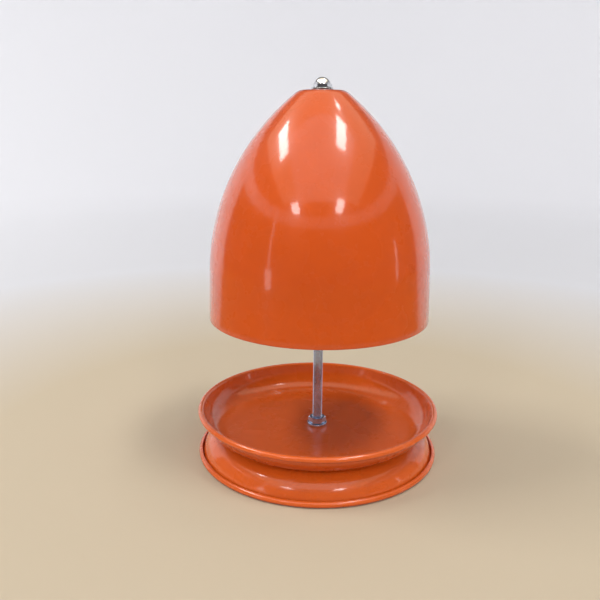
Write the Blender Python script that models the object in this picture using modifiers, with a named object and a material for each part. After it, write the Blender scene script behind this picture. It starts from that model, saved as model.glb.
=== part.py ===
"""A domed cover held on a threaded rod above two round pans set back to back.

The lower pan stands rim down as the foot and the upper pan is the open dish.
An M8 rod passes through both pans. A nut and washer on each side clamp the
pans together, a nut and washer carry the dome near the rod's top, and a
washer and a closed cap nut hold it down. The rod's threads are plain
cylinders here, so every nut keeps a running gap to it.

Metres, +Z up, with the origin on the table at the centre of the foot.
"""
from math import atan2, cos, pi, radians, sin, sqrt, tan

import bmesh
import bpy
from mathutils import Matrix

# Both pans.
PAN_DIAMETER = 0.203
PAN_DEPTH = 0.02035
PAN_SHEET = 0.001
PAN_COVE_RADIUS = 0.020
PAN_WALL_LEAN = radians(15)
PAN_BEAD = 0.0048

# Dome.
DOME_DIAMETER = 0.180
DOME_HEIGHT = 0.179
DOME_SHEET = 0.001
DOME_SKIRT = 0.035
DOME_SKIRT_TAPER = 0.001
CROWN_DIAMETER = 0.0352
CROWN_FILLET = 0.0125
DOME_TO_PAN_GAP = 0.0786

# Rod and fasteners.
ROD_DIAMETER = 0.008
ROD_CHAMFER = 0.0008
ROD_TAIL = 0.0026
THREAD_ENGAGEMENT = 0.0045
WASHER_BAND = 0.00425
WASHER_THICKNESS = 0.0014
NUT_WALL = 0.0025
NUT_HEIGHT = 0.0048
NUT_FACE_INSET = 0.00013
NUT_CHAMFER = radians(30)
CAP_HEX_HEIGHT = 0.0025
CAP_WALL = 0.0021
CAP_CROWN = 0.0026

# Clearances: between faces that touch, and around the rod.
FACE_GAP = 0.0003
ROD_GAP = 0.0003
TIP_GAP = 0.0003

# Fineness of the turned pieces.
LARGE_STEPS = 48
SMALL_STEPS = 24
BEAD_STEP = radians(30)
BEAD_FACETS = 9
COVE_STEPS = 5
OGIVE_STEPS = 12
FILLET_STEPS = 3
CAP_STEPS = 4
MERGE = 0.00001

# Finishes: colour, metallic, roughness.
ORANGE_PAINT = ((0.62, 0.115, 0.025, 1.0), 0.0, 0.22)
ZINC = ((0.58, 0.58, 0.57, 1.0), 1.0, 0.38)
CHROME = ((0.80, 0.80, 0.80, 1.0), 1.0, 0.12)

# What fits round the rod.
HOLE_RADIUS = ROD_DIAMETER / 2 + ROD_GAP
WASHER_RADIUS = ROD_DIAMETER / 2 + WASHER_BAND
NUT_FLAT = ROD_DIAMETER / 2 + NUT_WALL
NUT_CORNER = NUT_FLAT / cos(pi / 6)
NUT_FACE = NUT_FLAT - NUT_FACE_INSET
NUT_CUT = (NUT_CORNER - NUT_FACE) * tan(NUT_CHAMFER)
CAP_FOOT = ROD_DIAMETER / 2 + CAP_WALL
CAP_BORE = THREAD_ENGAGEMENT + TIP_GAP
CAP_HEIGHT = CAP_BORE + CAP_CROWN

# The stack of pieces along the rod, from the table up.
LOWER_FLOOR_TOP = PAN_DEPTH
LOWER_FLOOR_UNDERSIDE = LOWER_FLOOR_TOP - PAN_SHEET
BASE_WASHER_Z = LOWER_FLOOR_UNDERSIDE - FACE_GAP - WASHER_THICKNESS
BASE_NUT_Z = BASE_WASHER_Z - FACE_GAP - NUT_HEIGHT
UPPER_PAN_Z = LOWER_FLOOR_TOP + FACE_GAP
PAN_WASHER_Z = UPPER_PAN_Z + PAN_SHEET + FACE_GAP
PAN_NUT_Z = PAN_WASHER_Z + WASHER_THICKNESS + FACE_GAP
DOME_RIM_Z = UPPER_PAN_Z + PAN_DEPTH + DOME_TO_PAN_GAP
CROWN_TOP = DOME_RIM_Z + DOME_HEIGHT
DOME_WASHER_Z = CROWN_TOP - DOME_SHEET - FACE_GAP - WASHER_THICKNESS
DOME_NUT_Z = DOME_WASHER_Z - FACE_GAP - NUT_HEIGHT
CAP_WASHER_Z = CROWN_TOP + FACE_GAP
CAP_NUT_Z = CAP_WASHER_Z + WASHER_THICKNESS + FACE_GAP
ROD_BOTTOM = BASE_NUT_Z - ROD_TAIL
ROD_TOP = CAP_NUT_Z + THREAD_ENGAGEMENT


def arc(centre, radius, start, end, steps):
    """Points from start to end on a circle in the (r, z) plane."""
    angles = [start + (end - start) * i / steps for i in range(steps + 1)]
    return [(centre[0] + radius * cos(a), centre[1] + radius * sin(a)) for a in angles]


def dome_profile():
    """The dome's outer face, from the rod hole out and down to the rim."""
    skirt_radius = DOME_DIAMETER / 2 - DOME_SKIRT_TAPER
    rise = DOME_HEIGHT - DOME_SKIRT
    draw_in = skirt_radius - CROWN_DIAMETER / 2
    ogive_radius = (draw_in ** 2 + rise ** 2) / (2 * draw_in)
    ogive_centre = (skirt_radius - ogive_radius, DOME_SKIRT)

    fillet_rise = rise - CROWN_FILLET
    fillet_reach = sqrt((ogive_radius - CROWN_FILLET) ** 2 - fillet_rise ** 2)
    fillet_centre = (ogive_centre[0] + fillet_reach, DOME_SKIRT + fillet_rise)
    join = atan2(fillet_rise, fillet_reach)

    points = [(HOLE_RADIUS, DOME_HEIGHT)]
    points += arc(fillet_centre, CROWN_FILLET, pi / 2, join, FILLET_STEPS)
    points += arc(ogive_centre, ogive_radius, join, 0, OGIVE_STEPS)[1:]
    points.append((DOME_DIAMETER / 2, 0))
    return points


def pan_profile():
    """The pan's inner face, from the rod hole out, up and over the rolled rim."""
    bead_radius = PAN_BEAD / 2
    bead_centre = (PAN_DIAMETER / 2 - bead_radius, PAN_DEPTH - bead_radius)
    wall_top = (bead_centre[0] - bead_radius * cos(PAN_WALL_LEAN),
                bead_centre[1] + bead_radius * sin(PAN_WALL_LEAN))

    cove_radius = PAN_COVE_RADIUS - PAN_SHEET
    cove_rise = cove_radius * (1 - sin(PAN_WALL_LEAN))
    wall_rise = wall_top[1] - PAN_SHEET - cove_rise
    cove_end = wall_top[0] - wall_rise * tan(PAN_WALL_LEAN)
    cove_centre = (cove_end - cove_radius * cos(PAN_WALL_LEAN), PAN_SHEET + cove_radius)

    points = [(HOLE_RADIUS, PAN_SHEET)]
    points += arc(cove_centre, cove_radius, -pi / 2, -PAN_WALL_LEAN, COVE_STEPS)
    points.append(wall_top)
    # The facets lie around the bead's circle, with one flat on its crest.
    corner = bead_radius / cos(BEAD_STEP / 2)
    for i in range(1, BEAD_FACETS + 1):
        angle = pi - PAN_WALL_LEAN - i * BEAD_STEP
        points.append((bead_centre[0] + corner * cos(angle),
                       bead_centre[1] + corner * sin(angle)))
    return points


def ring_profile(inner, outer, height):
    """A flat ring's section, as a closed outline."""
    return [(outer, height), (outer, 0), (inner, 0), (inner, height)]


def nut_profile():
    """A nut's blank: a bored ring whose outer corners are chamfered."""
    mouth = HOLE_RADIUS + FACE_GAP
    return [(NUT_FACE, NUT_HEIGHT), (NUT_CORNER, NUT_HEIGHT - NUT_CUT), (NUT_CORNER, NUT_CUT),
            (NUT_FACE, 0), (mouth, 0), (HOLE_RADIUS, FACE_GAP),
            (HOLE_RADIUS, NUT_HEIGHT - FACE_GAP), (mouth, NUT_HEIGHT)]


def cap_nut_profile():
    """The cap nut's blank: a domed top, a hexagon's corners and a blind bore."""
    rise = CAP_HEIGHT - CAP_HEX_HEIGHT
    sphere = (CAP_FOOT ** 2 + rise ** 2) / (2 * rise)
    spring = atan2(sphere - rise, CAP_FOOT)

    points = arc((0, CAP_HEIGHT - sphere), sphere, pi / 2, spring, CAP_STEPS)
    points += [(NUT_FACE, CAP_HEX_HEIGHT), (NUT_CORNER, CAP_HEX_HEIGHT - NUT_CUT),
               (NUT_CORNER, NUT_CUT), (NUT_FACE, 0),
               (HOLE_RADIUS, 0), (HOLE_RADIUS, CAP_BORE), (0, CAP_BORE)]
    return points


def rod_profile():
    """The rod, with its two ends chamfered."""
    radius = ROD_DIAMETER / 2
    end = radius - ROD_CHAMFER
    return [(0, ROD_TOP), (end, ROD_TOP), (radius, ROD_TOP - ROD_CHAMFER),
            (radius, ROD_BOTTOM + ROD_CHAMFER), (end, ROD_BOTTOM), (0, ROD_BOTTOM)]


def collection(name):
    group = bpy.data.collections.new(name)
    bpy.context.scene.collection.children.link(group)
    return group


def turned(name, group, profile, steps, closed=False):
    """A profile of (r, z) points turned once around Z."""
    mesh = bpy.data.meshes.new(name)
    edges = [(i, i + 1) for i in range(len(profile) - 1)]
    if closed:
        edges.append((len(profile) - 1, 0))
    mesh.from_pydata([(r, 0, z) for r, z in profile], edges, [])
    obj = bpy.data.objects.new(name, mesh)
    group.objects.link(obj)

    screw = obj.modifiers.new("turn", "SCREW")
    screw.axis = "Z"
    screw.steps = steps
    screw.render_steps = steps
    screw.use_merge_vertices = True
    screw.merge_threshold = MERGE
    return obj


def turned_sheet(name, group, profile, thickness):
    """Sheet metal spun to a profile, with its thickness behind the profile's face."""
    obj = turned(name, group, profile, LARGE_STEPS)
    sheet = obj.modifiers.new("sheet", "SOLIDIFY")
    sheet.thickness = thickness
    sheet.offset = -1
    sheet.use_even_offset = True
    return obj


def hexagonal(name, group, cutters, blank_profile, height, closed):
    """A hexagonal prism, flats to front and back, kept only where it meets a turned blank."""
    prism = bmesh.new()
    bmesh.ops.create_cone(prism, cap_ends=True, segments=6, radius1=NUT_CORNER,
                          radius2=NUT_CORNER, depth=height * 2,
                          matrix=Matrix.Rotation(pi / 6, 4, "Z"))
    mesh = bpy.data.meshes.new(name)
    prism.to_mesh(mesh)
    prism.free()
    obj = bpy.data.objects.new(name, mesh)
    group.objects.link(obj)

    blank = turned(name + "_blank", cutters, blank_profile, SMALL_STEPS, closed)
    blank.hide_render = True
    blank.display_type = "WIRE"
    keep = obj.modifiers.new("keep_blank", "BOOLEAN")
    keep.operation = "INTERSECT"
    keep.solver = "EXACT"
    keep.object = blank
    return obj


def finished_mesh(obj):
    """The object's mesh with its modifiers applied; the object itself is removed."""
    graph = bpy.context.evaluated_depsgraph_get()
    mesh = bpy.data.meshes.new_from_object(obj.evaluated_get(graph))
    bpy.data.objects.remove(obj)
    return mesh


def copy_of(name, group, mesh, z, turned_over=False):
    """Another object on a shared mesh, at its place on the rod."""
    obj = bpy.data.objects.new(name, mesh)
    group.objects.link(obj)
    obj.location.z = z
    if turned_over:
        obj.rotation_euler.x = pi
    return obj


def finish(obj, look):
    """A material of the object's own, and smooth shading up to sharp edges."""
    colour, metallic, roughness = look
    material = bpy.data.materials.new(obj.name)
    material.use_nodes = True
    shader = material.node_tree.nodes["Principled BSDF"]
    shader.inputs["Base Color"].default_value = colour
    shader.inputs["Metallic"].default_value = metallic
    shader.inputs["Roughness"].default_value = roughness
    if not obj.data.materials:
        obj.data.materials.append(None)
    obj.material_slots[0].link = "OBJECT"
    obj.material_slots[0].material = material
    obj.data.shade_smooth()
    obj.data.set_sharp_from_angle(angle=radians(32))


def make_pans(group):
    pan = finished_mesh(turned_sheet("pan", group, pan_profile(), PAN_SHEET))
    for name, z, turned_over in (("upper_pan", UPPER_PAN_Z, False),
                                 ("lower_pan", LOWER_FLOOR_TOP, True)):
        finish(copy_of(name, group, pan, z, turned_over), ORANGE_PAINT)


def make_dome(group):
    dome = turned_sheet("dome_shell", group, dome_profile(), DOME_SHEET)
    dome.location.z = DOME_RIM_Z
    finish(dome, ORANGE_PAINT)


def make_rod(group):
    finish(turned("threaded_rod", group, rod_profile(), SMALL_STEPS), ZINC)


def make_washers(group):
    section = ring_profile(HOLE_RADIUS, WASHER_RADIUS, WASHER_THICKNESS)
    washer = finished_mesh(turned("washer", group, section, SMALL_STEPS, closed=True))
    for name, z, look in (("base_washer", BASE_WASHER_Z, ZINC),
                          ("pan_washer", PAN_WASHER_Z, ZINC),
                          ("dome_washer", DOME_WASHER_Z, ZINC),
                          ("cap_washer", CAP_WASHER_Z, CHROME)):
        finish(copy_of(name, group, washer, z), look)


def make_nuts(group, cutters):
    nut = finished_mesh(hexagonal("nut", group, cutters, nut_profile(), NUT_HEIGHT, closed=True))
    for name, z in (("base_nut", BASE_NUT_Z), ("pan_nut", PAN_NUT_Z), ("dome_nut", DOME_NUT_Z)):
        finish(copy_of(name, group, nut, z), ZINC)


def make_cap_nut(group, cutters):
    cap = hexagonal("cap", group, cutters, cap_nut_profile(), CAP_HEIGHT, closed=False)
    finish(copy_of("cap_nut", group, finished_mesh(cap), CAP_NUT_Z), CHROME)


def main():
    for obj in list(bpy.data.objects):
        bpy.data.objects.remove(obj)
    group = collection("domed_dish_stand")
    cutters = collection("cutters")
    make_pans(group)
    make_dome(group)
    make_rod(group)
    make_washers(group)
    make_nuts(group, cutters)
    make_cap_nut(group, cutters)


main()
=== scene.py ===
"""The finished look of a domed cover on a threaded rod over two round pans.

Every piece is turned, cut or threaded at the size of its CAD node and takes
that node's place. Metres, +Z up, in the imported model's own frame.
"""
from math import atan2, cos, floor, hypot, pi, radians, sin, sqrt, tan

import bmesh
import bpy
from mathutils import Matrix, Vector


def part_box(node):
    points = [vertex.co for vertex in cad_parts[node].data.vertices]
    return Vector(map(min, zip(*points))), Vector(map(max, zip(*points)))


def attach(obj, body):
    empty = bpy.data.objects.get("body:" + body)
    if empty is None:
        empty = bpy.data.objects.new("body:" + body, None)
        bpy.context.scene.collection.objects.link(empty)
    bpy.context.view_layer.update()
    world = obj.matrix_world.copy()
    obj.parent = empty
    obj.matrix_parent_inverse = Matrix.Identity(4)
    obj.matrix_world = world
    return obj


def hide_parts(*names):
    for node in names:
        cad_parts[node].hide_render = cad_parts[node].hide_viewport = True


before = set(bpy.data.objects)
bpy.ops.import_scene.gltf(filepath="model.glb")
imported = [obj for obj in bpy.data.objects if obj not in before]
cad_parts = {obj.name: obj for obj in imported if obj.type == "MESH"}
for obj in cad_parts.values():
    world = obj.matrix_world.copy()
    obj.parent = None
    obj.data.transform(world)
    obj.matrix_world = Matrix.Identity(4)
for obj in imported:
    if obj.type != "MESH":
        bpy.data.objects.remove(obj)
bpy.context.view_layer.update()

# Sheet metal.
SHEET = 0.001
PAN_COVE_RADIUS = 0.020
PAN_WALL_LEAN = radians(15)
PAN_BEAD = 0.0048
BEAD_CURL = radians(270)
DOME_SKIRT = 0.035
DOME_SKIRT_TAPER = 0.001
CROWN_DIAMETER = 0.0352
CROWN_FILLET = 0.0125

# Rod and fasteners.
HOLE_RADIUS = 0.0043
ROD_CHAMFER = 0.0008
NUT_FLAT = 0.0065
NUT_FACE_INSET = 0.00013
NUT_CHAMFER = radians(30)
NUT_MOUTH = 0.0003
CAP_HEX_HEIGHT = 0.0025
CAP_FOOT = 0.0061
CAP_BORE = 0.0048
CAP_SINK = 0.0005
WASHER_ROUND = 0.00024

# How far a cutting tool reaches past what it cuts.
CUT_OVER = 0.001

# Thread: its outline has four corners a turn, and its root, its two flanks and its crest
# share the pitch between them. The rod's own radii come first, then those of a nut's bore.
PITCH = 0.00125
CORNERS_A_TURN = 4
ROOT_SHARE = 0.14
FLANK_SHARE = 0.26
CREST_SHARE = 1 - ROOT_SHARE - 2 * FLANK_SHARE
THREAD_CREST = 0.0040
THREAD_ROOT = 0.00350
TAP_CREST = 0.00418
TAP_ROOT = 0.00366

# Enamel: where the film is thin, where it is thick, and in its darker mottling. Faces that
# look down are darkened with painted shade, and nibs are dust in the paint.
DOME_ORANGE = ((0.68, 0.086, 0.0030, 1), (0.72, 0.092, 0.0036, 1), (0.65, 0.079, 0.0026, 1))
PAN_ORANGE = ((0.77, 0.122, 0.0120, 1), (0.80, 0.130, 0.0130, 1), (0.73, 0.112, 0.0100, 1))
UNDERSIDE_SHADE_ORANGE = (0.34, 0.034, 0.0035, 1)
NIB_BROWN = (0.30, 0.030, 0.006, 1)
PEEL_DEPTH = 0.00003
GRAIN_DEPTH = 0.000003
NIB_HEIGHT = 0.00006

# Plating: bright and dull, and how deep its marks are. Painted shade darkens the rod's thread
# roots and a nut's bore.
ZINC_BRIGHT = (0.62, 0.73, 0.92, 1)
ZINC_DULL = (0.53, 0.63, 0.80, 1)
ROOT_SHADE = (0.22, 0.21, 0.20, 1)
ROOT_SHADE_FADE = 0.0005
ROD_ROOT_SHADE_RADIUS = THREAD_CREST - 0.0001
NUT_ROOT_SHADE_RADIUS = THREAD_CREST + 0.0003
SPANGLE_DEPTH = 0.000006
SCUFF_DEPTH = 0.000004
CHROME_CLEAR = (0.84, 0.85, 0.86, 1)
CHROME_HAZY = (0.74, 0.75, 0.77, 1)
CHROME_EDGE = (0.16, 0.16, 0.18, 1)
HAIRLINE_DEPTH = 0.000002

# Fineness.
AROUND = 192
AROUND_SMALL = 96
AROUND_THREAD = 36
LEVEL_STEPS = 2
OGIVE_STEPS = 44
FILLET_STEPS = 14
COVE_STEPS = 20
CURL_STEPS = 30
CAP_STEPS = 24
STRAIGHT_STEPS = 6
END_STEPS = 8
CORNER_STEPS = 4
MERGE = 0.000002

# An outline's turn below this is left as it is, and rounding takes this share of a side.
SHARPEST_SMOOTH = radians(12)
CORNER_REACH = 0.45

# Edges sharper than these stay sharp in the shading.
THREAD_SHARP = radians(25)
WASHER_SHARP = radians(40)


# ---------------------------------------------------------------- outlines

def arc(centre, radius, start, end, steps):
    """Points from start to end on a circle in the (r, z) plane."""
    angles = [start + (end - start) * i / steps for i in range(steps + 1)]
    return [(centre[0] + radius * cos(a), centre[1] + radius * sin(a)) for a in angles]


def joined(*runs):
    """Runs of points in one line, each shared point kept once."""
    line = []
    for run in runs:
        for point in run:
            if not line or hypot(point[0] - line[-1][0], point[1] - line[-1][1]) > MERGE:
                line.append(point)
    return line


def straight(start, end, steps):
    return [(start[0] + (end[0] - start[0]) * i / steps,
             start[1] + (end[1] - start[1]) * i / steps) for i in range(steps + 1)]


def dome_face(rim_radius, rim_z, height):
    """The dome's outer face, from the rod hole out and down to the rim."""
    skirt_radius = rim_radius - DOME_SKIRT_TAPER
    rise = height - DOME_SKIRT
    draw_in = skirt_radius - CROWN_DIAMETER / 2
    ogive_radius = (draw_in ** 2 + rise ** 2) / (2 * draw_in)
    ogive_centre = (skirt_radius - ogive_radius, rim_z + DOME_SKIRT)
    fillet_rise = rise - CROWN_FILLET
    fillet_reach = sqrt((ogive_radius - CROWN_FILLET) ** 2 - fillet_rise ** 2)
    fillet_centre = (ogive_centre[0] + fillet_reach, ogive_centre[1] + fillet_rise)
    join = atan2(fillet_rise, fillet_reach)
    crown = straight((HOLE_RADIUS, rim_z + height), (fillet_centre[0], rim_z + height),
                     LEVEL_STEPS)
    return joined(crown,
                  arc(fillet_centre, CROWN_FILLET, pi / 2, join, FILLET_STEPS),
                  arc(ogive_centre, ogive_radius, join, 0, OGIVE_STEPS),
                  straight((skirt_radius, rim_z + DOME_SKIRT), (rim_radius, rim_z),
                           STRAIGHT_STEPS))


def pan_face(rim_radius, depth):
    """The pan's inner face from the rod hole out, up and over its rolled rim."""
    bead_radius = PAN_BEAD / 2
    bead_centre = (rim_radius - bead_radius, depth - bead_radius)
    wall_top = (bead_centre[0] - bead_radius * cos(PAN_WALL_LEAN),
                bead_centre[1] + bead_radius * sin(PAN_WALL_LEAN))
    cove_radius = PAN_COVE_RADIUS - SHEET
    cove_rise = cove_radius * (1 - sin(PAN_WALL_LEAN))
    wall_rise = wall_top[1] - SHEET - cove_rise
    cove_end = wall_top[0] - wall_rise * tan(PAN_WALL_LEAN)
    cove_centre = (cove_end - cove_radius * cos(PAN_WALL_LEAN), SHEET + cove_radius)
    curl_start = pi - PAN_WALL_LEAN
    return joined(straight((HOLE_RADIUS, SHEET), (cove_centre[0], SHEET), STRAIGHT_STEPS),
                  arc(cove_centre, cove_radius, -pi / 2, -PAN_WALL_LEAN, COVE_STEPS),
                  arc(bead_centre, bead_radius, curl_start, curl_start - BEAD_CURL, CURL_STEPS))


def sheet_outline(face, thickness):
    """A closed outline: the face, its back a thickness behind it, and rounded ends."""
    half = thickness / 2
    normals = []
    for i in range(len(face)):
        before, after = face[max(i - 1, 0)], face[min(i + 1, len(face) - 1)]
        along = (after[0] - before[0], after[1] - before[1])
        size = hypot(*along)
        normals.append((along[1] / size, -along[0] / size))
    back = [(p[0] + n[0] * thickness, p[1] + n[1] * thickness)
            for p, n in zip(face, normals)]
    return joined(end_round(face, normals, half, 0), face[1:-1],
                  end_round(face, normals, half, -1), back[-2:0:-1])


def end_round(face, normals, half, end):
    """A sheet's rounded end: half a circle from its face round to its back, or back again."""
    point, normal = face[end], normals[end]
    inner = face[1] if end == 0 else face[-2]
    inward = (inner[0] - point[0], inner[1] - point[1])
    size = hypot(*inward)
    inward = (inward[0] / size, inward[1] / size)
    centre = (point[0] + normal[0] * half + inward[0] * half,
              point[1] + normal[1] * half + inward[1] * half)
    side = 1 if end == 0 else -1
    turn = []
    for i in range(END_STEPS + 1):
        angle = pi * i / END_STEPS
        across, out = half * side * cos(angle), half * sin(angle)
        turn.append((centre[0] + normal[0] * across - inward[0] * out,
                     centre[1] + normal[1] * across - inward[1] * out))
    return turn


def softened(outline, radius):
    """A closed outline with its sharp corners rounded off."""
    result = []
    for i, point in enumerate(outline):
        before, after = outline[i - 1], outline[(i + 1) % len(outline)]
        a = Vector(before) - Vector(point)
        b = Vector(after) - Vector(point)
        turn = pi - a.angle(b)
        if turn < SHARPEST_SMOOTH:
            result.append(point)
            continue
        reach = min(radius * tan(turn / 2), a.length * CORNER_REACH, b.length * CORNER_REACH)
        start = Vector(point) + a.normalized() * reach
        end = Vector(point) + b.normalized() * reach
        for step in range(CORNER_STEPS + 1):
            t = step / CORNER_STEPS
            bend = start * (1 - t) ** 2 + Vector(point) * 2 * t * (1 - t) + end * t ** 2
            result.append(tuple(bend))
    return result


# ---------------------------------------------------------------- node trees

def socket(tree, name, kind, direction="INPUT"):
    return tree.interface.new_socket(name=name, in_out=direction, socket_type=kind)


def math_node(tree, operation, first, second=None):
    node = tree.nodes.new("ShaderNodeMath")
    node.operation = operation
    for index, value in enumerate((first, second)):
        if value is None:
            continue
        if isinstance(value, (int, float)):
            node.inputs[index].default_value = value
        else:
            tree.links.new(value, node.inputs[index])
    return node.outputs[0]


def new_tree(name):
    tree = bpy.data.node_groups.new(name, "GeometryNodeTree")
    socket(tree, "Geometry", "NodeSocketGeometry")
    socket(tree, "Geometry", "NodeSocketGeometry", "OUTPUT")
    return tree


def grid_position(tree, radius, angle, height):
    """A Set Position node's place for every vertex, from its radius, angle and height."""
    place = tree.nodes.new("ShaderNodeCombineXYZ")
    tree.links.new(math_node(tree, "MULTIPLY", radius, math_node(tree, "COSINE", angle)),
                   place.inputs["X"])
    tree.links.new(math_node(tree, "MULTIPLY", radius, math_node(tree, "SINE", angle)),
                   place.inputs["Y"])
    tree.links.new(height, place.inputs["Z"])
    return place.outputs[0]


def end_tree(tree, inputs, grid, place):
    """The last nodes: place the grid, weld its seam, realise it and give it its finish."""
    move = tree.nodes.new("GeometryNodeSetPosition")
    tree.links.new(grid, move.inputs["Geometry"])
    tree.links.new(place, move.inputs["Position"])
    weld = tree.nodes.new("GeometryNodeMergeByDistance")
    weld.inputs["Distance"].default_value = MERGE
    tree.links.new(move.outputs[0], weld.inputs["Geometry"])
    realize = tree.nodes.new("GeometryNodeRealizeInstances")
    tree.links.new(weld.outputs[0], realize.inputs["Geometry"])
    finish = tree.nodes.new("GeometryNodeSetMaterial")
    tree.links.new(realize.outputs[0], finish.inputs["Geometry"])
    tree.links.new(inputs["Finish"], finish.inputs["Material"])
    result = tree.nodes.new("NodeGroupOutput")
    tree.links.new(finish.outputs[0], result.inputs["Geometry"])
    return tree


def turning_tree():
    """Turns a line of (r, z) points once around Z."""
    tree = new_tree("turning")
    socket(tree, "Outline Points", "NodeSocketInt")
    socket(tree, "Steps Around", "NodeSocketInt")
    socket(tree, "Finish", "NodeSocketMaterial")
    inputs = tree.nodes.new("NodeGroupInput").outputs

    grid = tree.nodes.new("GeometryNodeMeshGrid")
    tree.links.new(math_node(tree, "ADD", inputs["Steps Around"], 1), grid.inputs["Vertices X"])
    tree.links.new(inputs["Outline Points"], grid.inputs["Vertices Y"])

    index = tree.nodes.new("GeometryNodeInputIndex").outputs[0]
    share = math_node(tree, "DIVIDE", index, inputs["Outline Points"])
    column = math_node(tree, "FLOOR", share)
    row = math_node(tree, "SUBTRACT", index,
                    math_node(tree, "MULTIPLY", column, inputs["Outline Points"]))
    angle = math_node(tree, "DIVIDE", math_node(tree, "MULTIPLY", column, 2 * pi),
                      inputs["Steps Around"])

    sample = tree.nodes.new("GeometryNodeSampleIndex")
    sample.data_type = "FLOAT_VECTOR"
    tree.links.new(inputs["Geometry"], sample.inputs["Geometry"])
    tree.links.new(tree.nodes.new("GeometryNodeInputPosition").outputs[0],
                   sample.inputs["Value"])
    tree.links.new(row, sample.inputs["Index"])
    split = tree.nodes.new("ShaderNodeSeparateXYZ")
    tree.links.new(sample.outputs["Value"], split.inputs[0])
    place = grid_position(tree, split.outputs["X"], angle, split.outputs["Z"])
    return end_tree(tree, inputs, grid.outputs["Mesh"], place)


def thread_tree():
    """A screw thread: a ridge with a flat crest and a flat root that climbs round Z."""
    tree = new_tree("screw_thread")
    for name in ("Start Height", "Pitch", "Crest Radius", "Root Radius"):
        socket(tree, name, "NodeSocketFloat")
    for name in ("Turns", "Steps Around"):
        socket(tree, name, "NodeSocketInt")
    socket(tree, "Finish", "NodeSocketMaterial")
    inputs = tree.nodes.new("NodeGroupInput").outputs

    rows = math_node(tree, "ADD",
                     math_node(tree, "MULTIPLY", inputs["Turns"], CORNERS_A_TURN), 1)
    grid = tree.nodes.new("GeometryNodeMeshGrid")
    tree.links.new(math_node(tree, "ADD", inputs["Steps Around"], 1), grid.inputs["Vertices X"])
    tree.links.new(rows, grid.inputs["Vertices Y"])

    index = tree.nodes.new("GeometryNodeInputIndex").outputs[0]
    column = math_node(tree, "FLOOR", math_node(tree, "DIVIDE", index, rows))
    row = math_node(tree, "SUBTRACT", index, math_node(tree, "MULTIPLY", column, rows))
    turn = math_node(tree, "FLOOR", math_node(tree, "DIVIDE", row, CORNERS_A_TURN))
    corner = math_node(tree, "SUBTRACT", row,
                       math_node(tree, "MULTIPLY", turn, CORNERS_A_TURN))

    # Corners 0 and 1 are the root's two edges, 2 and 3 are the crest's.
    on_crest = math_node(tree, "GREATER_THAN", corner, 1.5)
    depth = math_node(tree, "SUBTRACT", inputs["Crest Radius"], inputs["Root Radius"])
    radius = math_node(tree, "ADD", inputs["Root Radius"],
                       math_node(tree, "MULTIPLY", depth, on_crest))
    past_root = math_node(tree, "MULTIPLY",
                          math_node(tree, "GREATER_THAN", corner, 0.5), ROOT_SHARE)
    past_flank = math_node(tree, "MULTIPLY", on_crest, FLANK_SHARE)
    past_crest = math_node(tree, "MULTIPLY",
                           math_node(tree, "GREATER_THAN", corner, 2.5), CREST_SHARE)
    climbed = math_node(tree, "ADD", math_node(tree, "ADD", past_root, past_flank), past_crest)
    share = math_node(tree, "DIVIDE", column, inputs["Steps Around"])
    turns = math_node(tree, "ADD", math_node(tree, "ADD", turn, climbed), share)
    height = math_node(tree, "ADD", inputs["Start Height"],
                       math_node(tree, "MULTIPLY", turns, inputs["Pitch"]))
    angle = math_node(tree, "MULTIPLY", share, 2 * pi)
    place = grid_position(tree, radius, angle, height)
    return end_tree(tree, inputs, grid.outputs["Mesh"], place)


def applied(obj, tree, **values):
    """The object's mesh after the tree has run on it with these values."""
    modifier = obj.modifiers.new(tree.name, "NODES")
    modifier.node_group = tree
    names = {item.name: item.identifier for item in tree.interface.items_tree
             if item.in_out == "INPUT"}
    for name, value in values.items():
        modifier[names[name]] = value
    return baked(obj)


def baked(obj):
    """The object's mesh with every modifier run; the object itself is removed."""
    graph = bpy.context.evaluated_depsgraph_get()
    mesh = bpy.data.meshes.new_from_object(obj.evaluated_get(graph))
    bpy.data.objects.remove(obj)
    return mesh


def line_object(points):
    mesh = bpy.data.meshes.new("outline")
    edges = [(i, i + 1) for i in range(len(points) - 1)]
    mesh.from_pydata([(r, 0, z) for r, z in points], edges, [])
    return mesh_object("outline", mesh)


def mesh_object(name, mesh):
    obj = bpy.data.objects.new(name, mesh)
    bpy.context.scene.collection.objects.link(obj)
    return obj


def outward(mesh):
    """Doubles and slivers welded away, and every face turned outwards."""
    work = bmesh.new()
    work.from_mesh(mesh)
    bmesh.ops.remove_doubles(work, verts=work.verts, dist=MERGE)
    bmesh.ops.dissolve_degenerate(work, edges=work.edges, dist=MERGE / 4)
    bmesh.ops.recalc_face_normals(work, faces=work.faces)
    work.to_mesh(mesh)
    work.free()
    return mesh


def turned(outline, finish, around, closed=True):
    """A solid turned from an outline of (r, z) points."""
    points = outline + [outline[0]] if closed else outline
    mesh = applied(line_object(points), TURNING, **{
        "Outline Points": len(points), "Steps Around": around, "Finish": finish})
    return outward(mesh)


def screw(bottom, top, crest, root, finish):
    """A threaded bar longer than the piece that is cut from it."""
    start = floor(bottom / PITCH - 2) * PITCH
    turns = floor((top - start) / PITCH) + 2
    carrier = line_object([(0, 0), (0, PITCH)])
    mesh = applied(carrier, THREADING, **{
        "Start Height": start, "Pitch": PITCH, "Crest Radius": crest, "Root Radius": root,
        "Turns": turns, "Steps Around": AROUND_THREAD, "Finish": finish})
    work = bmesh.new()
    work.from_mesh(mesh)
    bmesh.ops.remove_doubles(work, verts=work.verts, dist=MERGE)
    bmesh.ops.holes_fill(work, edges=work.edges)
    bmesh.ops.triangulate(work, faces=work.faces)
    bmesh.ops.recalc_face_normals(work, faces=work.faces)
    work.to_mesh(mesh)
    work.free()
    return mesh


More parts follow.
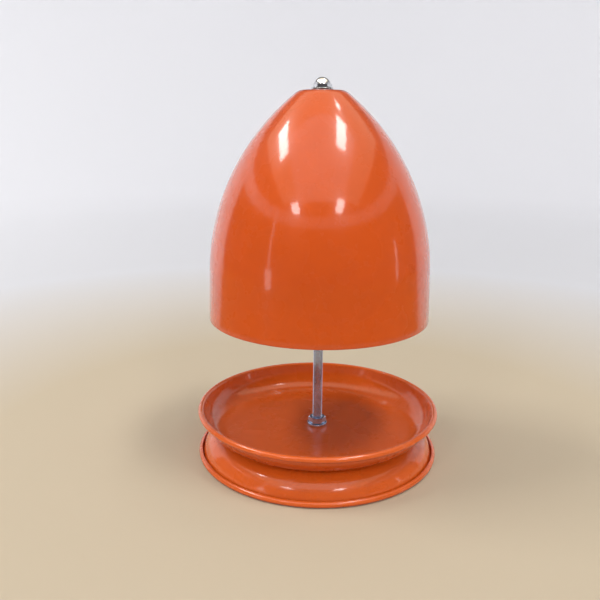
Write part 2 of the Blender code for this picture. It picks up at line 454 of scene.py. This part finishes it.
def combined(mesh, tool, operation):
    """One mesh cut by, or kept inside, another."""
    obj, other = mesh_object("blank", mesh), mesh_object("tool", tool)
    cut = obj.modifiers.new("cut", "BOOLEAN")
    cut.operation = operation
    cut.solver = "EXACT"
    cut.object = other
    result = baked(obj)
    bpy.data.objects.remove(other)
    return result


def hexagon(bottom, top, finish):
    """A hexagonal bar, flat sides to the front and back."""
    corner = NUT_FLAT / cos(pi / 6)
    place = Matrix.Translation((0, 0, (top + bottom) / 2)) @ Matrix.Rotation(pi / 6, 4, "Z")
    work = bmesh.new()
    bmesh.ops.create_cone(work, cap_ends=True, segments=6, radius1=corner, radius2=corner,
                          depth=top - bottom, matrix=place)
    mesh = bpy.data.meshes.new("hexagon")
    work.to_mesh(mesh)
    work.free()
    mesh.materials.append(finish)
    return mesh


def nut_blank(bottom, top, finish):
    """A hexagonal bar whose corners are turned off at both ends."""
    corner = NUT_FLAT / cos(pi / 6)
    face = NUT_FLAT - NUT_FACE_INSET
    wide = corner + CUT_OVER
    fall = (wide - face) * tan(NUT_CHAMFER)
    envelope = turned([(0, top), (face, top), (wide, top - fall),
                       (wide, bottom + fall), (face, bottom), (0, bottom)],
                      finish, AROUND_SMALL, closed=False)
    return combined(hexagon(bottom - CUT_OVER, top + CUT_OVER, finish), envelope, "INTERSECT")


# ---------------------------------------------------------------- materials

def material(name):
    made = bpy.data.materials.new(name)
    made.use_nodes = True
    tree = made.node_tree
    return made, tree, tree.nodes["Principled BSDF"]


def noise(tree, where, scale, detail, roughness=0.5):
    node = tree.nodes.new("ShaderNodeTexNoise")
    node.inputs["Scale"].default_value = scale
    node.inputs["Detail"].default_value = detail
    node.inputs["Roughness"].default_value = roughness
    tree.links.new(where, node.inputs["Vector"])
    return node.outputs["Fac"]


def remap(tree, value, low, high, new_low, new_high):
    node = tree.nodes.new("ShaderNodeMapRange")
    for name, number in (("From Min", low), ("From Max", high),
                         ("To Min", new_low), ("To Max", new_high)):
        node.inputs[name].default_value = number
    tree.links.new(value, node.inputs["Value"])
    return node.outputs["Result"]


def blend(tree, share, first, second):
    """A colour between two, each a colour or another node's output."""
    node = tree.nodes.new("ShaderNodeMix")
    node.data_type = "RGBA"
    tree.links.new(share, node.inputs[0])
    # A Mix node's two colours are its inputs 6 and 7, and their blend is its output 2.
    for index, colour in ((6, first), (7, second)):
        if isinstance(colour, tuple):
            node.inputs[index].default_value = colour
        else:
            tree.links.new(colour, node.inputs[index])
    return node.outputs[2]


def bump(tree, height, distance, under=None):
    node = tree.nodes.new("ShaderNodeBump")
    node.inputs["Distance"].default_value = distance
    tree.links.new(height, node.inputs["Height"])
    if under:
        tree.links.new(under, node.inputs["Normal"])
    return node.outputs[0]


def object_coordinates(tree, shift=(0, 0, 0), stretch=(1, 1, 1)):
    mapping = tree.nodes.new("ShaderNodeMapping")
    mapping.inputs["Location"].default_value = shift
    mapping.inputs["Scale"].default_value = stretch
    where = tree.nodes.new("ShaderNodeTexCoord")
    tree.links.new(where.outputs["Object"], mapping.inputs["Vector"])
    return mapping.outputs[0]


def orange_paint(name, shift, thin, thick, shaded):
    """Sprayed gloss enamel: uneven film, orange peel, dust nibs, faint handling marks and
    painted shade on faces that look down.
    """
    made, tree, shader = material(name)
    where = object_coordinates(tree, shift)
    film = noise(tree, where, scale=16, detail=3)
    mottle = noise(tree, where, scale=95, detail=2)
    peel = noise(tree, where, scale=420, detail=1.5)
    grain = noise(tree, where, scale=1700, detail=1)
    handling = noise(tree, where, scale=38, detail=4, roughness=0.55)

    dust = tree.nodes.new("ShaderNodeTexVoronoi")
    dust.inputs["Scale"].default_value = 70
    tree.links.new(where, dust.inputs["Vector"])
    nibs = remap(tree, dust.outputs["Distance"], 0.028, 0.004, 0, 1)

    colour = blend(tree, remap(tree, film, 0.35, 0.65, 0, 1), thin, thick)
    colour = blend(tree, remap(tree, mottle, 0.35, 0.7, 0, 0.3), colour, shaded)
    colour = blend(tree, math_node(tree, "MULTIPLY", nibs, 0.55), colour, NIB_BROWN)
    # Faces that look down are darkened towards a dark orange: painted shade.
    facing = tree.nodes.new("ShaderNodeSeparateXYZ")
    tree.links.new(tree.nodes.new("ShaderNodeNewGeometry").outputs["Normal"], facing.inputs[0])
    painted_underside_shade = remap(tree, facing.outputs["Z"], 0.1, -0.7, 0, 0.75)
    colour = blend(tree, painted_underside_shade, colour, UNDERSIDE_SHADE_ORANGE)
    tree.links.new(colour, shader.inputs["Base Color"])
    rough = remap(tree, handling, 0.35, 0.7, 0.24, 0.32)
    tree.links.new(rough, shader.inputs["Roughness"])
    normal = bump(tree, peel, PEEL_DEPTH)
    normal = bump(tree, grain, GRAIN_DEPTH, under=normal)
    normal = bump(tree, nibs, NIB_HEIGHT, under=normal)
    tree.links.new(normal, shader.inputs["Normal"])
    tree.links.new(normal, shader.inputs["Coat Normal"])
    shader.inputs["IOR"].default_value = 1.5
    shader.inputs["Specular IOR Level"].default_value = 0.2
    shader.inputs["Coat Weight"].default_value = 0.85
    shader.inputs["Coat Roughness"].default_value = 0.08
    shader.inputs["Coat IOR"].default_value = 1.45
    return made


def zinc_plate(name, root_shade_radius):
    """Bright zinc on rolled steel, darker and rougher inside the root shade radius, where shade
    is painted.
    """
    made, tree, shader = material(name)
    where = object_coordinates(tree)
    split = tree.nodes.new("ShaderNodeSeparateXYZ")
    tree.links.new(where, split.inputs[0])
    squares = [math_node(tree, "MULTIPLY", split.outputs[axis], split.outputs[axis])
               for axis in ("X", "Y")]
    radius = math_node(tree, "SQRT", math_node(tree, "ADD", *squares))
    # Inside this radius the zinc darkens towards a dark grey: painted shade in the thread's
    # roots.
    depth = remap(tree, radius, root_shade_radius, root_shade_radius - ROOT_SHADE_FADE, 0, 1)

    bloom = noise(tree, where, scale=260, detail=4, roughness=0.6)
    spangle = noise(tree, where, scale=900, detail=2)
    scuffs = noise(tree, object_coordinates(tree, stretch=(1, 1, 12)), scale=160, detail=3)
    colour = blend(tree, remap(tree, bloom, 0.35, 0.65, 0, 1), ZINC_BRIGHT, ZINC_DULL)
    root_shade = math_node(tree, "MULTIPLY", depth, remap(tree, bloom, 0.3, 0.7, 0.25, 0.6))
    colour = blend(tree, root_shade, colour, ROOT_SHADE)
    tree.links.new(colour, shader.inputs["Base Color"])
    shader.inputs["Metallic"].default_value = 0.88
    rough = math_node(tree, "ADD", remap(tree, spangle, 0.3, 0.7, 0.10, 0.18),
                      math_node(tree, "MULTIPLY", root_shade, 0.25))
    tree.links.new(rough, shader.inputs["Roughness"])
    normal = bump(tree, spangle, SPANGLE_DEPTH)
    tree.links.new(bump(tree, scuffs, SCUFF_DEPTH, under=normal), shader.inputs["Normal"])
    return made


def bright_plate(name):
    """Polished nickel-chrome, with hairline scratches and a trace of haze."""
    made, tree, shader = material(name)
    where = object_coordinates(tree)
    haze = noise(tree, where, scale=300, detail=4, roughness=0.6)
    hairlines = noise(tree, object_coordinates(tree, stretch=(14, 1, 1)), scale=700, detail=2)
    colour = blend(tree, remap(tree, haze, 0.35, 0.7, 0, 1), CHROME_CLEAR, CHROME_HAZY)
    tree.links.new(colour, shader.inputs["Base Color"])
    shader.inputs["Metallic"].default_value = 1.0
    shader.inputs["Specular Tint"].default_value = CHROME_EDGE
    tree.links.new(remap(tree, haze, 0.3, 0.7, 0.05, 0.14), shader.inputs["Roughness"])
    tree.links.new(bump(tree, hairlines, HAIRLINE_DEPTH), shader.inputs["Normal"])
    return made


def floor_paper():
    """Pale paper, warm underfoot and cooler where it climbs to the backdrop."""
    made, tree, shader = material("floor_paper")
    length = tree.nodes.new("ShaderNodeVectorMath")
    length.operation = "LENGTH"
    tree.links.new(object_coordinates(tree), length.inputs[0])
    away = length.outputs["Value"]
    colour = blend(tree, remap(tree, away, WARM_RADIUS, COOL_RADIUS, 0, 1),
                   PAPER_WARM, PAPER_COOL)
    tree.links.new(colour, shader.inputs["Base Color"])
    shader.inputs["Roughness"].default_value = PAPER_ROUGHNESS
    glow = blend(tree, remap(tree, away, GLOW_START, GLOW_FULL, 0, 1),
                 (0, 0, 0, 1), PAPER_GLOW)
    tree.links.new(glow, shader.inputs["Emission Color"])
    shader.inputs["Emission Strength"].default_value = GLOW_BRIGHTNESS
    return made


# ---------------------------------------------------------------- pieces

def piece(name, mesh, node, body, sharp=pi):
    """A finished piece: in the scene, riding its body and standing for its CAD node."""
    mesh.shade_smooth()
    if sharp < pi:
        mesh.set_sharp_from_angle(angle=sharp)
    obj = mesh_object(name, mesh)
    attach(obj, body)
    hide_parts(node)
    return obj


def at_height(mesh, z, turned_over=False):
    place = Matrix.Translation((0, 0, z))
    if turned_over:
        place = place @ Matrix.Rotation(pi, 4, "X")
    mesh.transform(place)
    return mesh


def make_pans():
    """Two pans from one outline; each has its own shift of the paint's pattern."""
    for name, node, turned_over, shift in (("open_dish", "upper_pan", False, (0.3, 0, 0)),
                                           ("foot_dish", "lower_pan", True, (0, 0.4, 0.1))):
        low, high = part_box(node)
        outline = sheet_outline(pan_face(high.x, high.z - low.z), SHEET)
        mesh = turned(outline, orange_paint(name + "_paint", shift, *PAN_ORANGE), AROUND)
        z = high.z if turned_over else low.z
        piece(name, at_height(mesh, z, turned_over), node, "base")


def make_dome():
    low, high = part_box("dome_shell")
    outline = sheet_outline(dome_face(high.x, low.z, high.z - low.z), SHEET)
    mesh = turned(outline, orange_paint("dome_paint", (0, 0, 0), *DOME_ORANGE), AROUND)
    piece("spun_dome", mesh, "dome_shell", "dome")


def make_rod():
    low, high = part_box("threaded_rod")
    finish = zinc_plate("rod_zinc", ROD_ROOT_SHADE_RADIUS)
    bar = screw(low.z, high.z, THREAD_CREST, THREAD_ROOT, finish)
    end = THREAD_CREST - ROD_CHAMFER
    wide = THREAD_CREST + CUT_OVER
    rise = ROD_CHAMFER + CUT_OVER
    envelope = turned([(0, high.z), (end, high.z), (wide, high.z - rise),
                       (wide, low.z + rise), (end, low.z), (0, low.z)],
                      finish, AROUND_THREAD, closed=False)
    mesh = outward(combined(bar, envelope, "INTERSECT"))
    piece("long_rod", mesh, "threaded_rod", "base", THREAD_SHARP)


def make_washers():
    for name, node, body, slot in (
            ("foot_washer", "base_washer", "base_washer", "zinc_plate"),
            ("dish_washer", "pan_washer", "pan_washer", "zinc_plate"),
            ("crown_washer", "dome_washer", "dome_washer", "zinc_plate"),
            ("bright_washer", "cap_washer", "cap_washer", "bright_plate")):
        low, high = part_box(node)
        finish = (bright_plate(name + "_plate") if slot == "bright_plate"
                  else zinc_plate(name + "_zinc", HOLE_RADIUS))
        ring = [(high.x, high.z), (high.x, low.z), (HOLE_RADIUS, low.z), (HOLE_RADIUS, high.z)]
        mesh = turned(softened(ring, WASHER_ROUND), finish, AROUND_SMALL)
        piece(name, mesh, node, body, WASHER_SHARP)


def make_nuts():
    for name, node in (("foot_nut", "base_nut"), ("dish_nut", "pan_nut"),
                       ("crown_nut", "dome_nut")):
        low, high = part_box(node)
        finish = zinc_plate(name + "_zinc", NUT_ROOT_SHADE_RADIUS)
        mouth = HOLE_RADIUS + NUT_MOUTH
        countersink = mouth - TAP_ROOT
        drill = turned([(0, high.z + CUT_OVER), (mouth + CUT_OVER, high.z + CUT_OVER),
                        (mouth, high.z), (TAP_ROOT, high.z - countersink),
                        (TAP_ROOT, low.z + countersink), (mouth, low.z),
                        (mouth + CUT_OVER, low.z - CUT_OVER), (0, low.z - CUT_OVER)],
                       finish, AROUND_THREAD, closed=False)
        body = combined(nut_blank(low.z, high.z, finish), drill, "DIFFERENCE")
        body = combined(body, screw(low.z, high.z, TAP_CREST, TAP_ROOT, finish), "DIFFERENCE")
        piece(name, outward(body), node, node, THREAD_SHARP)


def make_cap_nut():
    low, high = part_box("cap_nut")
    finish = bright_plate("cap_plate")
    shoulder = low.z + CAP_HEX_HEIGHT
    rise = high.z - shoulder
    sphere = (CAP_FOOT ** 2 + rise ** 2) / (2 * rise)
    spring = atan2(sphere - rise, CAP_FOOT)
    crown = arc((0, high.z - sphere), sphere, pi / 2, spring, CAP_STEPS)
    dome = turned(crown + [(CAP_FOOT, shoulder - CAP_SINK), (0, shoulder - CAP_SINK)],
                  finish, AROUND_SMALL, closed=False)
    body = combined(nut_blank(low.z, shoulder, finish), dome, "UNION")
    mouth = HOLE_RADIUS + NUT_MOUTH
    bore = turned([(0, low.z + CAP_BORE), (HOLE_RADIUS, low.z + CAP_BORE),
                   (HOLE_RADIUS, low.z + NUT_MOUTH), (mouth, low.z),
                   (mouth, low.z - CUT_OVER), (0, low.z - CUT_OVER)],
                  finish, AROUND_SMALL, closed=False)
    mesh = outward(combined(body, bore, "DIFFERENCE"))
    piece("closed_cap", mesh, "cap_nut", "cap_nut", THREAD_SHARP)


# ---------------------------------------------------------------- studio

CAMERA_DISTANCE = 0.5577
CAMERA_HEIGHT = 0.2821
CAMERA_LENS = 41.92
CAMERA_PITCH = radians(15.06)
CAMERA_YAW = radians(1.61)
CAMERA_ROLL = radians(0.48)
NEAR_CLIP = 0.01

# The paper lies level to where its curve starts, then climbs to a wall. It is warm within
# one radius of the object and cool past the next, and it glows faintly further out.
LEVEL_RADIUS = 0.8
SWEEP_CURVE = 0.8
WALL_RADIUS = 2.4
WALL_TOP = 1.5
HIGH_WALL_TOP = 2.7
SWEEP_STEPS = 24
PAPER_WARM = (0.60, 0.50, 0.35, 1)
PAPER_COOL = (0.76, 0.76, 0.78, 1)
WARM_RADIUS = 0.3
COOL_RADIUS = 0.75
PAPER_GLOW = (0.95, 0.95, 1.0, 1)
GLOW_START = 0.8
GLOW_FULL = 1.8
GLOW_BRIGHTNESS = 0.16
PAPER_ROUGHNESS = 0.75

SKY = (0.80, 0.80, 0.84, 1)
SKY_BRIGHTNESS = 0.22

# Each lamp's name, centre, size and brightness.
LAMPS = (("left_tube", (-1.6, 0.05, 2.25), (0.42, 1.2), 19),
         ("right_tube", (0.8, -0.36, 2.25), (0.40, 0.8), 19),
         ("right_end", (0.72, 0.41, 2.25), (0.16, 0.2), 18),
         ("left_front_tube", (-1.63, -2.9, 2.2), (0.5, 0.8), 16),
         ("right_front_tube", (1.23, -2.8, 2.2), (0.5, 0.8), 16))

# The ceiling is only reflected, and so is the canopy that hangs just under its front.
CEILING_CENTRE = (0, -0.5, 2.5)
CEILING_SIZE = (5.4, 4.4)
CEILING_BRIGHTNESS = 1.15
CEILING_TINT = (1.0, 0.86, 0.64)
CANOPY_CORNERS = ((1.5, -3.0, 2.45), (-1.5, -3.0, 2.45), (-1.5, -0.1, 2.45), (1.5, -0.1, 2.45))
CANOPY_BRIGHTNESS = 1.2
CANOPY_TINT = (1, 0.98, 0.92, 1)

# Each bright card's name, foot on the floor, width, height and brightness.
CARDS = (("left_card", (-0.66, -0.57), 0.10, 0.16, 2.6),
         ("left_tall_card", (-0.95, -0.80), 0.05, 0.85, 1.2),
         ("right_card", (1.20, -0.20), 0.05, 0.36, 2.2))
CARD_FOOT = 0.01
CARD_TINT = (1, 0.97, 0.95, 1)

# Each dark screen's name, line of (r, z) points, direction of its middle, spread and colour.
FRONT = -pi / 2
BACK = pi / 2
# The back screen is painted shade: dark felt, seen only in reflections, that stands in for a
# wall in shadow.
SCREENS = (("wall_shade_screen", ((2.2, 0.55), (2.2, 1.45)), BACK, radians(10), (0.05, 0.04, 0.04, 1)),
           ("front_screen", ((1.3, 0.003), (1.3, 0.72)), FRONT, radians(112),
            (0.06, 0.055, 0.06, 1)),
           ("front_mat", ((0.42, 0.003), (1.3, 0.003)), FRONT, radians(112),
            (0.36, 0.17, 0.04, 1)))
SCREEN_STEPS = 48
FELT_ROUGHNESS = 0.9


def make_camera():
    data = bpy.data.cameras.new("camera")
    data.lens = CAMERA_LENS
    data.clip_start = NEAR_CLIP
    camera = bpy.data.objects.new("camera", data)
    bpy.context.scene.collection.objects.link(camera)
    camera.matrix_world = (Matrix.Translation((0, -CAMERA_DISTANCE, CAMERA_HEIGHT))
                           @ Matrix.Rotation(CAMERA_YAW, 4, "Z")
                           @ Matrix.Rotation(pi / 2 - CAMERA_PITCH, 4, "X")
                           @ Matrix.Rotation(CAMERA_ROLL, 4, "Z"))
    bpy.context.scene.camera = camera


def softbox(name, centre, size, brightness, colour=(1, 1, 1), lights=True):
    """A rectangular lamp that faces straight down; one that doesn't light is only reflected."""
    data = bpy.data.lights.new(name, "AREA")
    data.shape = "RECTANGLE"
    data.size, data.size_y = size
    data.energy = brightness * pi * size[0] * size[1]
    data.color = colour
    lamp = bpy.data.objects.new(name, data)
    lamp.location = centre
    lamp.visible_diffuse = lights
    bpy.context.scene.collection.objects.link(lamp)


def only_reflected(card):
    """A staged card that shows in glossy surfaces, but neither lights nor shades anything."""
    card.visible_camera = False
    card.visible_diffuse = False
    card.visible_shadow = False


def dark_screen(name, line, middle, spread, colour):
    """Dark felt round one side, out of the camera's sight, that keeps the paint from glaring.
    The back screen is painted shade: a wall in shadow, seen only in reflections.

    Its line of two (r, z) points is carried round by the spread to each side of its middle.
    """
    points = []
    for i in range(SCREEN_STEPS + 1):
        angle = middle - spread + 2 * spread * i / SCREEN_STEPS
        points += [(r * cos(angle), r * sin(angle), z) for r, z in line]
    faces = [(2 * i, 2 * i + 2, 2 * i + 3, 2 * i + 1) for i in range(SCREEN_STEPS)]
    mesh = bpy.data.meshes.new(name)
    mesh.from_pydata(points, [], faces)
    felt, _, shader = material(name + "_felt")
    shader.inputs["Base Color"].default_value = colour
    shader.inputs["Roughness"].default_value = FELT_ROUGHNESS
    mesh.materials.append(felt)
    only_reflected(mesh_object(name, mesh))


def glowing_sheet(name, corners, colour, brightness):
    """A four-cornered sheet that only reflections see, lit from within."""
    mesh = bpy.data.meshes.new(name)
    mesh.from_pydata(corners, [], [(0, 1, 2, 3)])
    light, _, shader = material(name + "_light")
    shader.inputs["Emission Color"].default_value = colour
    shader.inputs["Emission Strength"].default_value = brightness
    mesh.materials.append(light)
    only_reflected(mesh_object(name, mesh))


def bright_card(name, foot, width, height, brightness):
    """A tall white card beside the camera that puts a soft upright streak on the paint."""
    across = Vector((-foot[1], foot[0])).normalized() * width / 2
    corners = [(foot[0] + side * across.x, foot[1] + side * across.y, z)
               for side, z in ((-1, CARD_FOOT), (1, CARD_FOOT), (1, height), (-1, height))]
    glowing_sheet(name, corners, CARD_TINT, brightness)


def paper_sheet(name, outline, paper):
    """A sheet of backdrop paper turned round the object, which light passes through."""
    mesh = turned(outline, paper, AROUND_SMALL, closed=False)
    mesh.flip_normals()
    mesh.shade_smooth()
    sheet = mesh_object(name, mesh)
    sheet.visible_shadow = False
    return sheet


def make_studio():
    world = bpy.data.worlds.new("studio")
    bpy.context.scene.world = world
    world.use_nodes = True
    sky = world.node_tree.nodes["Background"]
    sky.inputs["Color"].default_value = SKY
    sky.inputs["Strength"].default_value = SKY_BRIGHTNESS

    paper = floor_paper()
    curve_start = WALL_RADIUS - SWEEP_CURVE
    sweep = joined([(0, 0), (LEVEL_RADIUS, 0)],
                   arc((curve_start, SWEEP_CURVE), SWEEP_CURVE, -pi / 2, 0, SWEEP_STEPS),
                   [(WALL_RADIUS, WALL_TOP)])
    paper_sheet("floor", sweep, paper)
    high_wall = paper_sheet("high_wall", [(WALL_RADIUS, WALL_TOP), (WALL_RADIUS, HIGH_WALL_TOP)],
                            paper)
    high_wall.visible_diffuse = False
    high_wall.visible_glossy = False

    softbox("ceiling", CEILING_CENTRE, CEILING_SIZE, CEILING_BRIGHTNESS, CEILING_TINT,
            lights=False)
    for lamp in LAMPS:
        softbox(*lamp)
    for card in CARDS:
        bright_card(*card)
    glowing_sheet("canopy", CANOPY_CORNERS, CANOPY_TINT, CANOPY_BRIGHTNESS)
    for screen in SCREENS:
        dark_screen(*screen)

    bpy.context.scene.view_settings.view_transform = "Standard"


TURNING = turning_tree()
THREADING = thread_tree()
make_camera()
make_studio()
make_pans()
make_dome()
make_rod()
make_washers()
make_nuts()
make_cap_nut()
